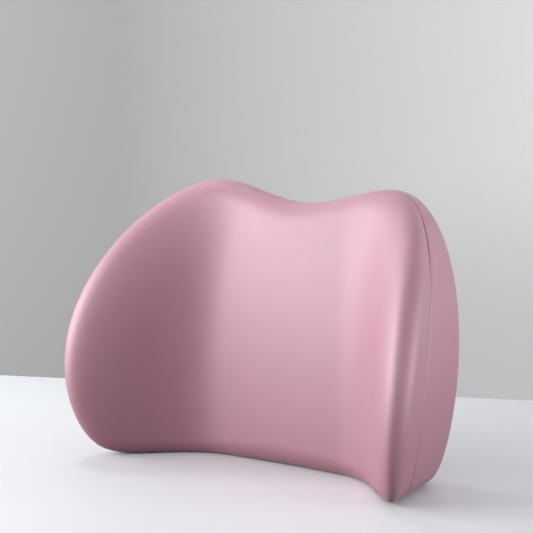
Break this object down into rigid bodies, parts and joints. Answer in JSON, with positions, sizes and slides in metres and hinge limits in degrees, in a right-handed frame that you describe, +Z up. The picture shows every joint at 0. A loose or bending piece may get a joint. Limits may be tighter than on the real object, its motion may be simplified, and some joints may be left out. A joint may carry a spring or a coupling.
{
  "type": "lumbar support cushion",
  "caption": "Winged lumbar cushion with a hollow front for the lower back, a knitted zip cover and an elastic chair strap with a side-release buckle.",
  "frame": {"origin": "centre of the overall box, on the surface that the cushion stands on", "axes": "+X to the right as seen from in front of the hollow, -Y the way the hollow faces, +Z up"},
  "size_m": [0.4382, 0.1679, 0.2967],
  "materials": {
    "cover_knit": "smooth satin-faced stretch knit",
    "liner_jersey": "thin matt jersey",
    "foam": "slow-recovery polyurethane foam",
    "zip_tape": "woven tape",
    "zip_nylon": "dyed nylon coil",
    "zip_metal": "enamelled zinc",
    "webbing": "ribbed elastic webbing",
    "thread": "polyester thread",
    "buckle_plastic": "fine-grained moulded acetal",
    "label_satin": "blank woven satin"
  },
  "bodies": {
    "cushion": {"foam_core": "foam", "inner_liner": "liner_jersey", "front_cover": "cover_knit", "back_cover": "cover_knit", "zip_tape_upper": "zip_tape", "zip_tape_lower": "zip_tape", "zip_coil_upper": "zip_nylon", "zip_coil_lower": "zip_nylon", "zip_top_stop_upper": "zip_metal", "zip_top_stop_lower": "zip_metal", "zip_bottom_stop": "zip_metal", "strap_patch_left": "cover_knit", "strap_patch_right": "cover_knit", "strap_webbing_left": "webbing", "strap_webbing_right": "webbing", "strap_stitch_left": "thread", "strap_stitch_right": "thread", "care_label": "label_satin"},
    "slider": {"zip_slider": "zip_metal"},
    "pull": {"zip_pull": "zip_metal"},
    "socket": {"buckle_socket": "buckle_plastic"},
    "adjuster": {"strap_adjuster": "buckle_plastic"},
    "plug": {"buckle_plug": "buckle_plastic"}
  },
  "joints": [
    {"name": "zip_slide", "type": "slide", "parent": "cushion", "child": "slider", "axis": [-1, 0, 0], "range_m": [0, 0.268], "deforming": ["zip_coil_upper", "zip_coil_lower"]},
    {"name": "zip_pull_swing", "type": "hinge", "parent": "slider", "child": "pull", "pos_m": [0.1345, 0.07003, 0.06569], "axis": [0, -0.0654, -0.9979], "range_deg": [0, 180]},
    {"name": "strap_tighten", "type": "slide", "parent": "cushion", "child": "socket", "axis": [-1, 0, 0], "range_m": [-0.004, 0.02], "deforming": ["strap_webbing_left", "strap_webbing_right"]},
    {"name": "adjuster_slide", "type": "slide", "parent": "socket", "child": "adjuster", "axis": [-1, 0, 0], "range_m": [-0.004, 0.02]},
    {"name": "plug_release", "type": "slide", "parent": "socket", "child": "plug", "axis": [1, 0, 0], "range_m": [0, 0.03], "deforming": ["buckle_plug", "strap_webbing_right"]}
  ],
  "couplings": [
    {"joint": "adjuster_slide", "follows": "strap_tighten", "ratio": 1}
  ]
}
